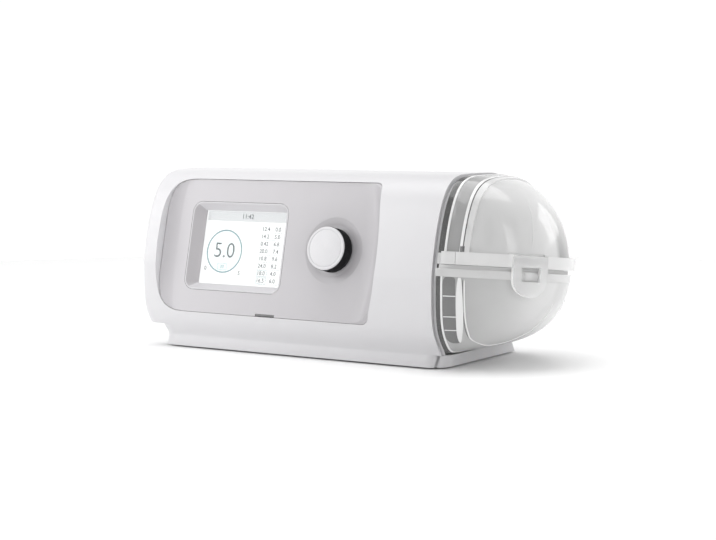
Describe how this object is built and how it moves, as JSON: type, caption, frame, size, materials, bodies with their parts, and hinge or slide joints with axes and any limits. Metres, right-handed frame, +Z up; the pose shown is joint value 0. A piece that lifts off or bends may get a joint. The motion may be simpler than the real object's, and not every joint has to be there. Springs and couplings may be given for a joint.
{
  "type": "cpap machine",
  "caption": "Long rounded bedside airway pressure machine with a sloped front panel, display, push knob, rear hose outlet and a clear docked water tank with a latched hinged lid.",
  "frame": {"origin": "under the middle of the overall box, on the surface the machine stands on", "axes": "+X along the length towards the water tank, +Y to the back, +Z up"},
  "size_m": [0.3064, 0.1497, 0.1265],
  "materials": {
    "shell_white": "satin moulded",
    "panel_grey": "satin moulded",
    "bezel_grey": "satin moulded",
    "liner_grey": "fine matt",
    "clear_lens": "clear",
    "display_face": "lit display",
    "dark_window": "dark translucent",
    "knob_metal": "satin turned",
    "knob_white": "satin",
    "clear_tank": "clear with a light smoke tint",
    "latch_clear": "frosted clear",
    "rubber_dark": "matt",
    "silicone_grey": "matt",
    "board_green": "solder mask",
    "steel": "plain",
    "heater_metal": "milled",
    "foam_grey": "open foam",
    "filter_cloth": "pleated fibre",
    "blower_black": "matt",
    "fan_white": "matt",
    "brass_nut": "plated",
    "insulator": "matt",
    "sensor_blue": "matt"
  },
  "bodies": {
    "housing": {"main_housing": "shell_white", "base_pan": "shell_white", "rear_cover": "shell_white", "front_panel": "panel_grey", "display_bezel": "bezel_grey", "display_lens": "clear_lens", "lcd_module": "display_face", "display_board": "board_green", "sensor_window": "dark_window", "encoder_body": "steel", "encoder_nut": "brass_nut", "chamber_base": "liner_grey", "chamber_lid": "liner_grey", "muffler_foam": "foam_grey", "blower_lower": "blower_black", "blower_upper": "blower_black", "motor_can": "steel", "blower_mounts": "rubber_dark", "blower_duct": "rubber_dark", "air_filter": "filter_cloth", "main_board": "board_green", "dc_jack": "blower_black", "outlet_duct": "rubber_dark", "hose_outlet": "shell_white", "flow_sensor": "sensor_blue", "dock_ring": "shell_white", "dock_liner": "liner_grey", "port_seals": "silicone_grey", "heater_plate": "heater_metal", "heater_insulator": "insulator", "rubber_feet": "rubber_dark", "base_screws": "steel", "rear_screws": "steel", "board_screws": "steel"},
    "filter_door": {"filter_cover": "shell_white"},
    "knob_plunger": {"encoder_plunger": "blower_black"},
    "knob": {"encoder_shaft": "steel", "knob_ring": "knob_metal", "knob_cap": "knob_white"},
    "rotor": {"impeller": "fan_white", "motor_shaft": "steel"},
    "tank": {"tank_tub": "clear_tank", "tank_plate": "steel", "tank_cover": "clear_tank", "tank_gasket": "silicone_grey", "hinge_pin": "steel"},
    "tank_lid": {"tank_lid": "clear_tank", "latch_pin": "steel"},
    "lid_latch": {"lid_latch": "latch_clear"}
  },
  "joints": [
    {"name": "filter_cover_pull", "type": "slide", "parent": "housing", "child": "filter_door", "axis": [0, 1, 0], "range_m": [0, 0.02]},
    {"name": "knob_press", "type": "slide", "parent": "housing", "child": "knob_plunger", "axis": [0, 0.9753, -0.2209], "range_m": [0, 0.0008], "stiffness_N_per_m": 3000, "springref_m": -0.0008},
    {"name": "knob_turn", "type": "hinge", "parent": "knob_plunger", "child": "knob", "pos_m": [0.00395, -0.05967, 0.07418], "axis": [0, -0.9753, 0.2209], "continuous": true},
    {"name": "impeller_spin", "type": "hinge", "parent": "housing", "child": "rotor", "pos_m": [-0.08825, -0.00598, 0.088], "axis": [0, 0, 1], "continuous": true},
    {"name": "tank_slide", "type": "slide", "parent": "housing", "child": "tank", "axis": [1, 0, 0], "range_m": [0, 0.11]},
    {"name": "lid_hinge", "type": "hinge", "parent": "tank", "child": "tank_lid", "pos_m": [0.1129, 0.05174, 0.05643], "axis": [-1, 0, 0], "range_deg": [0, 95]},
    {"name": "latch_hinge", "type": "hinge", "parent": "tank_lid", "child": "lid_latch", "pos_m": [0.14205, -0.04168, 0.07224], "axis": [-0.5123, -0.8545, 0.0857], "range_deg": [0, 30]}
  ]
}
